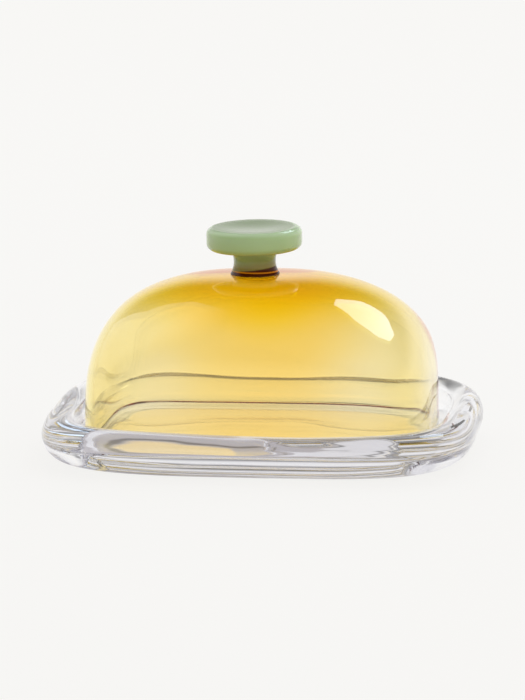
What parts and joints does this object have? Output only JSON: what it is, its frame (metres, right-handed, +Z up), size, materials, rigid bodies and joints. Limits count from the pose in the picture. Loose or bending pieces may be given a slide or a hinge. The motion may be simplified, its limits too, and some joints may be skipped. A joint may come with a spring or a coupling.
{
  "type": "covered butter dish",
  "caption": "Glass butter dish: a thick clear tray with a rolled rim, an amber dome that lifts off it, and a round jade knob on the crown.",
  "frame": {"origin": "centre of the tray's flat underside", "axes": "+X along the tray's long side, +Z up through the dome and its knob"},
  "size_m": [0.19, 0.16, 0.1],
  "materials": {
    "clear_glass": "clear, fire-polished, faintly reamy",
    "amber_glass": "clear amber, deeper towards the crown",
    "dark_amber_glass": "dark amber, glossy",
    "jade_glass": "milky jade green, glossy"
  },
  "bodies": {
    "tray": {"tray": "clear_glass"},
    "cover": {"dome": "amber_glass", "knob_collar": "dark_amber_glass", "knob_stem": "jade_glass", "knob_disc": "jade_glass"}
  },
  "joints": [
    {"name": "cover_lift", "type": "slide", "parent": "tray", "child": "cover", "axis": [0, 0, 1], "range_m": [0, 0.12]}
  ]
}
